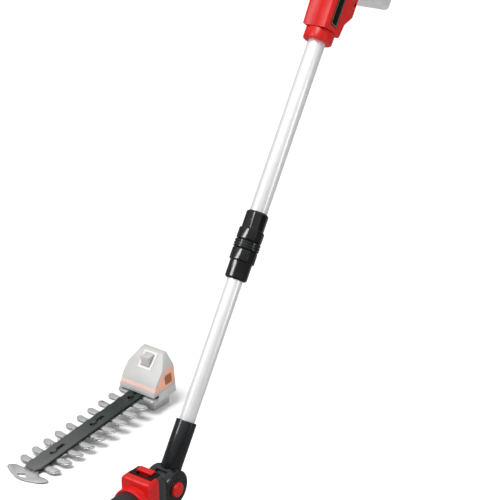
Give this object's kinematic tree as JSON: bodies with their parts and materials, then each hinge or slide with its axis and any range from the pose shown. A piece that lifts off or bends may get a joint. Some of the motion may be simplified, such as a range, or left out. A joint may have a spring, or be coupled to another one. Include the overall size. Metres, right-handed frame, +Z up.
{
  "type": "telescopic hedge trimmer",
  "caption": "Battery hedge trimmer on a telescopic pole: D-handle with trigger, twist-lock tubes, tilting adapter, motor unit and a double-sided toothed head lying beside it.",
  "frame": {"origin": "centre of the whole object on the floor", "axes": "+Z up, the tool points along -Y, the pole leans back towards +Y, the tilt axis runs along X with its button on +X"},
  "size_m": [0.3664, 0.9461, 0.947],
  "materials": {
    "tube": "brushed, pale",
    "collar": "glossy black",
    "collar_grip": "ribbed black",
    "sleeve": "fine textured black",
    "black": "black moulding",
    "dark_grey": "dark grey moulding",
    "red": "red moulding",
    "label": "blank black label",
    "charcoal": "charcoal moulding",
    "soft_grip": "soft black",
    "steel": "plain steel",
    "ground_steel": "ground teeth",
    "dark_steel": "dark coated bar",
    "spring": "spring wire",
    "brass": "sintered bronze",
    "board": "green board",
    "pale_grey": "pale grey moulding",
    "salmon": "pale salmon inlay",
    "emblem": "plain brown inlay",
    "cell": "cell wrap"
  },
  "bodies": {
    "handle": {"upper_tube": "tube", "collar_body": "collar", "clamp_sleeve": "black", "neck_ring": "red", "handle_shell_right": "red", "handle_shell_left": "red", "handle_screws": "steel", "label_panels": "label", "grip_cover": "soft_grip", "trigger_spring": "spring", "switch_module": "dark_grey", "lock_spring": "spring", "lock_bridge": "dark_grey", "control_board": "board", "battery_rail": "dark_grey", "strap_eye": "steel"},
    "collar": {"collar_nut": "collar", "collar_ring": "collar_grip"},
    "pole": {"lower_tube": "tube", "tube_bush": "black", "arm_sleeve": "sleeve", "knuckle": "black", "pivot_pin": "steel", "pivot_cap": "black", "button_spring": "spring"},
    "pivot_button": {"pivot_button": "red"},
    "tool": {"adapter_tongue": "dark_grey", "adapter_body": "red", "top_plate": "label", "latch_spring": "spring", "grip_tube": "charcoal", "motor_shell_right": "red", "motor_shell_left": "red", "motor_screws": "steel", "gear_carrier": "dark_grey", "motor": "steel", "shaft_bearings": "brass", "dock_ring": "black"},
    "release": {"release_slider": "red", "latch_bolt": "black"},
    "rotor": {"motor_pinion": "steel"},
    "output": {"output_gear": "steel"},
    "trigger": {"trigger": "black"},
    "lock_off": {"lock_off_button": "black"},
    "battery": {"battery_lid": "pale_grey", "battery_case": "pale_grey", "battery_cells": "cell"},
    "battery_release": {"battery_release": "charcoal"},
    "head": {"lower_blade": "ground_steel", "guide_bar": "dark_steel", "blade_bolts": "dark_steel", "head_cover": "pale_grey", "head_base": "pale_grey", "head_dock": "black", "side_panels": "salmon", "side_emblems": "emblem"},
    "head_latch": {"head_latch": "pale_grey"},
    "moving_blade": {"upper_blade": "ground_steel"},
    "crank": {"crank_gear": "steel"},
    "drive": {"drive_shaft": "steel"}
  },
  "joints": [
    {"name": "telescope", "type": "slide", "parent": "handle", "child": "pole", "axis": [0, 0.5621, 0.8271], "range_m": [-0.07, 0.19]},
    {"name": "collar_twist", "type": "hinge", "parent": "handle", "child": "collar", "pos_m": [0.1432, 0.01907, 0.36467], "axis": [0, 0.5621, 0.8271], "range_deg": [0, 75]},
    {"name": "tilt", "type": "hinge", "parent": "pole", "child": "tool", "pos_m": [0.1432, -0.1608, 0.1], "axis": [1, 0, 0], "range_deg": [-30, 55]},
    {"name": "pivot_button_press", "type": "slide", "parent": "pole", "child": "pivot_button", "axis": [-1, 0, 0], "range_m": [0, 0.003], "stiffness_N_per_m": 1500, "springref_m": -0.002, "deforming": ["button_spring"]},
    {"name": "release_slide", "type": "slide", "parent": "tool", "child": "release", "axis": [0, -1, 0], "range_m": [0, 0.004], "stiffness_N_per_m": 900, "springref_m": -0.002, "deforming": ["latch_spring"]},
    {"name": "output_turn", "type": "hinge", "parent": "tool", "child": "output", "pos_m": [0.1432, -0.4308, 0.082], "axis": [0, -1, 0], "continuous": true},
    {"name": "rotor_turn", "type": "hinge", "parent": "tool", "child": "rotor", "pos_m": [0.1432, -0.4308, 0.1], "axis": [0, -1, 0], "continuous": true},
    {"name": "trigger_pull", "type": "slide", "parent": "handle", "child": "trigger", "axis": [0, -0.8271, 0.5621], "range_m": [0, 0.005], "stiffness_N_per_m": 900, "springref_m": -0.003, "deforming": ["trigger_spring"]},
    {"name": "lock_off_press", "type": "slide", "parent": "handle", "child": "lock_off", "axis": [0, 0.8271, -0.5621], "range_m": [0, 0.003], "stiffness_N_per_m": 900, "springref_m": -0.002, "deforming": ["lock_spring"]},
    {"name": "battery_slide", "type": "slide", "parent": "handle", "child": "battery", "axis": [0, -0.5621, -0.8271], "range_m": [0, 0.1]},
    {"name": "battery_release_press", "type": "slide", "parent": "battery", "child": "battery_release", "axis": [0, 0.5621, 0.8271], "range_m": [0, 0.002], "stiffness_N_per_m": 1200, "springref_m": -0.002},
    {"name": "head_lift", "type": "slide", "parent": "handle", "child": "head", "axis": [0, 0, 1], "range_m": [0, 0.25]},
    {"name": "head_latch_press", "type": "slide", "parent": "head", "child": "head_latch", "axis": [0.0045, 0.1044, -0.9945], "range_m": [0, 0.003], "stiffness_N_per_m": 900, "springref_m": -0.002},
    {"name": "crank_turn", "type": "hinge", "parent": "head", "child": "crank", "pos_m": [-0.13104, 0.14031, 0.04209], "axis": [-0.0045, -0.1044, 0.9945], "range_deg": [-20, 20]},
    {"name": "blade_stroke", "type": "slide", "parent": "head", "child": "moving_blade", "axis": [0.0423, 0.9936, 0.1045], "range_m": [-0.0024, 0.0024]},
    {"name": "drive_turn", "type": "hinge", "parent": "head", "child": "drive", "pos_m": [-0.13017, 0.1607, 0.05831], "axis": [0.0423, 0.9936, 0.1045], "range_deg": [-62, 62]}
  ],
  "couplings": [
    {"joint": "rotor_turn", "follows": "output_turn", "ratio": -2.8889},
    {"joint": "crank_turn", "follows": "blade_stroke", "rad_per_m": 144.3},
    {"joint": "drive_turn", "follows": "blade_stroke", "rad_per_m": 432.9}
  ]
}
